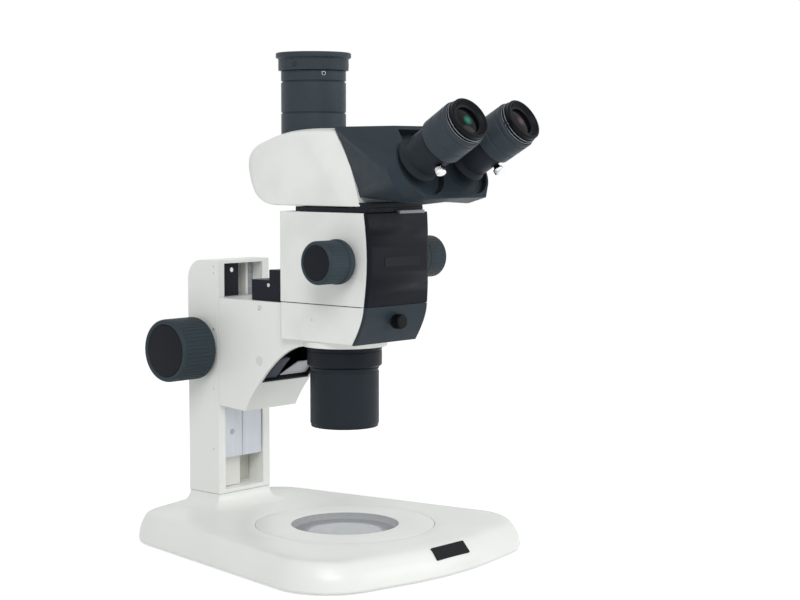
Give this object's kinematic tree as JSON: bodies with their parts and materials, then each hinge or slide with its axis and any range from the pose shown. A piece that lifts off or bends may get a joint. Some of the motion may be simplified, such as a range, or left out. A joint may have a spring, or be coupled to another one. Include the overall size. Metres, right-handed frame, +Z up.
{
  "type": "stereo microscope",
  "caption": "Trinocular zoom stereo microscope on a column stand with a transmitted-light base, rack focus arm, tilted eyepiece tubes and a vertical photo tube.",
  "frame": {"origin": "centre of the overall footprint, on the table under the feet", "axes": "+Z up; the user sits at -Y and looks along +Y; +X is at the user's right hand"},
  "size_m": [0.277, 0.3834, 0.4435],
  "materials": {
    "white_enamel": "smooth satin white enamel",
    "white_cover": "satin white moulding",
    "slate_paint": "fine satin slate paint",
    "slate_plastic": "satin slate moulding",
    "black_panel": "dark satin moulding",
    "black_paint": "satin black paint",
    "black_plastic": "satin black moulding",
    "aluminium": "anodised, fine brushed",
    "steel": "ground",
    "chrome": "bright plated",
    "brass": "turned",
    "rubber": "matt",
    "glass": "coated optical glass",
    "frosted_glass": "ground surface",
    "diffuser": "opal"
  },
  "bodies": {
    "stand": {"base_casting": "white_enamel", "base_bottom_cover": "steel", "rubber_foot_1": "rubber", "rubber_foot_2": "rubber", "rubber_foot_3": "rubber", "rubber_foot_4": "rubber", "stage_ring": "white_enamel", "lamp_module": "aluminium", "lamp_diffuser": "diffuser", "power_inlet": "black_plastic", "column": "white_enamel", "column_guide": "white_cover", "upper_stop_block": "black_paint", "focus_bush_left": "brass", "focus_bush_right": "brass"},
    "stage_plate": {"stage_glass": "frosted_glass"},
    "brightness_control": {"brightness_knob": "black_plastic"},
    "focus_drive": {"focus_shaft": "steel", "focus_knob_left": "slate_plastic", "focus_knob_right": "slate_plastic"},
    "carriage": {"carriage_arm": "white_enamel", "arm_liner": "black_plastic", "mounting_bracket": "black_paint", "focus_slide": "aluminium", "focus_rack": "steel", "upper_body_shell": "white_cover", "upper_front_panel": "black_panel", "lower_body_shell": "white_cover", "lower_front_panel": "slate_plastic", "zoom_chassis": "aluminium", "objective_mount_ring": "black_paint", "objective_barrel": "slate_paint", "objective_front_lens": "glass", "head_neck": "black_paint", "head_shell": "white_cover", "binocular_housing": "slate_plastic", "beam_splitter_prism": "glass", "phototube": "slate_paint", "phototube_collar": "slate_paint"},
    "zoom_drive": {"zoom_shaft": "steel", "zoom_knob_left": "slate_plastic", "zoom_knob_right": "slate_plastic"},
    "upper_zoom_group": {"upper_lens_carriage": "brass", "upper_zoom_lens_left": "glass", "upper_zoom_lens_right": "glass"},
    "lower_zoom_group": {"lower_lens_carriage": "brass", "lower_zoom_lens_left": "glass", "lower_zoom_lens_right": "glass"},
    "iris_control": {"iris_knob": "black_plastic"},
    "dust_cap": {"dust_cap": "black_plastic"},
    "tube_left": {"eyepiece_tube_left": "slate_paint"},
    "eyepiece_left": {"eyepiece_left": "slate_paint"},
    "dioptre_left": {"dioptre_ring_left": "black_plastic", "eye_lens_left": "glass"},
    "thumb_screw_left": {"thumb_screw_left": "chrome"},
    "tube_right": {"eyepiece_tube_right": "slate_paint"},
    "eyepiece_right": {"eyepiece_right": "slate_paint"},
    "dioptre_right": {"dioptre_ring_right": "black_plastic", "eye_lens_right": "glass"},
    "thumb_screw_right": {"thumb_screw_right": "chrome"}
  },
  "joints": [
    {"name": "stage_lift", "type": "slide", "parent": "stand", "child": "stage_plate", "axis": [0, 0, 1], "range_m": [0, 0.02]},
    {"name": "brightness_turn", "type": "hinge", "parent": "stand", "child": "brightness_control", "pos_m": [0.11786, 0.05182, 0.011], "axis": [0.9855, 0.1699, 0], "range_deg": [0, 270]},
    {"name": "focus_slide", "type": "slide", "parent": "stand", "child": "carriage", "axis": [0, 0, 1], "range_m": [-0.027, 0.03]},
    {"name": "focus_turn", "type": "hinge", "parent": "stand", "child": "focus_drive", "pos_m": [0, 0.14482, 0.1755], "axis": [1, 0, 0], "range_deg": [-287, 258.5]},
    {"name": "zoom_turn", "type": "hinge", "parent": "carriage", "child": "zoom_drive", "pos_m": [0, -0.04778, 0.2634], "axis": [1, 0, 0], "range_deg": [-126, 126]},
    {"name": "zoom_upper", "type": "slide", "parent": "carriage", "child": "upper_zoom_group", "axis": [0, 0, 1], "range_m": [-0.011, 0.011]},
    {"name": "zoom_lower", "type": "slide", "parent": "carriage", "child": "lower_zoom_group", "axis": [0, 0, 1], "range_m": [-0.011, 0.011]},
    {"name": "iris_turn", "type": "hinge", "parent": "carriage", "child": "iris_control", "pos_m": [0, -0.07018, 0.211], "axis": [0, -1, 0], "range_deg": [-40, 40]},
    {"name": "dust_cap_lift", "type": "slide", "parent": "carriage", "child": "dust_cap", "axis": [0, 0, 1], "range_m": [0, 0.03]},
    {"name": "swing_left", "type": "hinge", "parent": "carriage", "child": "tube_left", "pos_m": [-0.028, -0.12441, 0.3426], "axis": [0, -0.866, 0.5], "range_deg": [-40, 15]},
    {"name": "eyepiece_pull_left", "type": "slide", "parent": "tube_left", "child": "eyepiece_left", "axis": [-0.0529, -0.8644, 0.5], "range_m": [0, 0.021]},
    {"name": "dioptre_turn_left", "type": "hinge", "parent": "eyepiece_left", "child": "dioptre_left", "pos_m": [-0.0347, -0.18278, 0.3833], "axis": [-0.0529, -0.8644, 0.5], "range_deg": [-120, 120]},
    {"name": "thumb_screw_turn_left", "type": "hinge", "parent": "tube_left", "child": "thumb_screw_left", "pos_m": [-0.03707, -0.15208, 0.34312], "axis": [-0.2416, -0.4748, -0.8463], "range_deg": [0, 360]},
    {"name": "swing_right", "type": "hinge", "parent": "carriage", "child": "tube_right", "pos_m": [0.028, -0.12441, 0.3426], "axis": [0, -0.866, 0.5], "range_deg": [-15, 40]},
    {"name": "eyepiece_pull_right", "type": "slide", "parent": "tube_right", "child": "eyepiece_right", "axis": [0.0529, -0.8644, 0.5], "range_m": [0, 0.021]},
    {"name": "dioptre_turn_right", "type": "hinge", "parent": "eyepiece_right", "child": "dioptre_right", "pos_m": [0.0347, -0.18278, 0.3833], "axis": [0.0529, -0.8644, 0.5], "range_deg": [-120, 120]},
    {"name": "thumb_screw_turn_right", "type": "hinge", "parent": "tube_right", "child": "thumb_screw_right", "pos_m": [0.03707, -0.15208, 0.34312], "axis": [0.2416, -0.4748, -0.8463], "range_deg": [0, 360]}
  ],
  "couplings": [
    {"joint": "focus_turn", "follows": "focus_slide", "rad_per_m": -166.67},
    {"joint": "zoom_upper", "follows": "zoom_turn", "m_per_rad": 0.005},
    {"joint": "zoom_lower", "follows": "zoom_turn", "m_per_rad": -0.005},
    {"joint": "swing_right", "follows": "swing_left", "ratio": -1}
  ]
}
